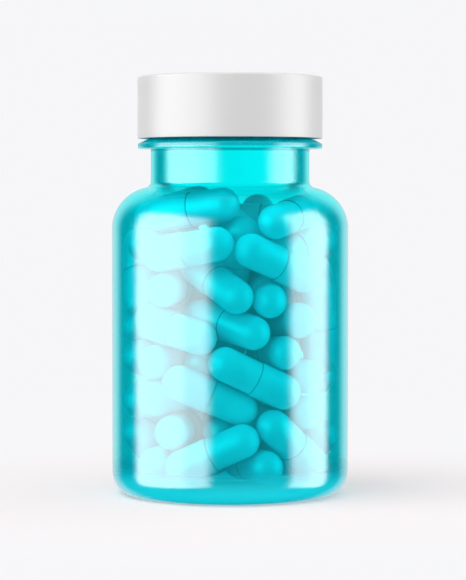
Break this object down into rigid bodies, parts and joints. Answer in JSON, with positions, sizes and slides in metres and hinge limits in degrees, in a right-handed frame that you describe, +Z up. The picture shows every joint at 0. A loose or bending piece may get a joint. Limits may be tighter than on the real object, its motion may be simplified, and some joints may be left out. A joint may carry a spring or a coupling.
{
  "type": "pill bottle",
  "caption": "Round translucent tinted pill bottle with a neck bead and a plain white screw cap, filled with hard capsules.",
  "frame": {"origin": "centre of the standing ring under the base, on the surface the bottle stands on", "axes": "+Z up along the bottle's axis; -Y is the front; the bottle is round, so +X only fixes where the threads start and how the capsules lie"},
  "size_m": [0.052, 0.052, 0.0917],
  "materials": {
    "tinted_plastic": "satin translucent",
    "white_plastic": "satin",
    "liner_foam": "matt foam",
    "capsule_shell": "satin gelatine"
  },
  "bodies": {
    "bottle": {"bottle": "tinted_plastic", "capsule_01": "capsule_shell", "capsule_02": "capsule_shell", "capsule_03": "capsule_shell", "capsule_04": "capsule_shell", "capsule_05": "capsule_shell", "capsule_06": "capsule_shell", "capsule_07": "capsule_shell", "capsule_08": "capsule_shell", "capsule_09": "capsule_shell", "capsule_10": "capsule_shell", "capsule_11": "capsule_shell", "capsule_12": "capsule_shell", "capsule_13": "capsule_shell", "capsule_14": "capsule_shell", "capsule_15": "capsule_shell", "capsule_16": "capsule_shell", "capsule_17": "capsule_shell", "capsule_18": "capsule_shell", "capsule_19": "capsule_shell", "capsule_20": "capsule_shell", "capsule_21": "capsule_shell", "capsule_22": "capsule_shell", "capsule_23": "capsule_shell", "capsule_24": "capsule_shell", "capsule_25": "capsule_shell", "capsule_26": "capsule_shell", "capsule_27": "capsule_shell", "capsule_28": "capsule_shell", "capsule_29": "capsule_shell", "capsule_30": "capsule_shell", "capsule_31": "capsule_shell", "capsule_32": "capsule_shell", "capsule_33": "capsule_shell", "capsule_34": "capsule_shell", "capsule_35": "capsule_shell", "capsule_36": "capsule_shell", "capsule_37": "capsule_shell", "capsule_38": "capsule_shell", "capsule_39": "capsule_shell", "capsule_40": "capsule_shell", "capsules_core": "capsule_shell"},
    "liner": {"cap_liner": "liner_foam"},
    "cap": {"cap": "white_plastic"}
  },
  "joints": [
    {"name": "cap_rise", "type": "slide", "parent": "bottle", "child": "liner", "axis": [0, 0, 1], "range_m": [0, 0.0254]},
    {"name": "cap_turn", "type": "hinge", "parent": "liner", "child": "cap", "pos_m": [0, 0, 0.0892], "axis": [0, 0, 1], "range_deg": [0, 2160]}
  ],
  "couplings": [
    {"joint": "cap_rise", "follows": "cap_turn", "m_per_rad": 0.00067376}
  ]
}
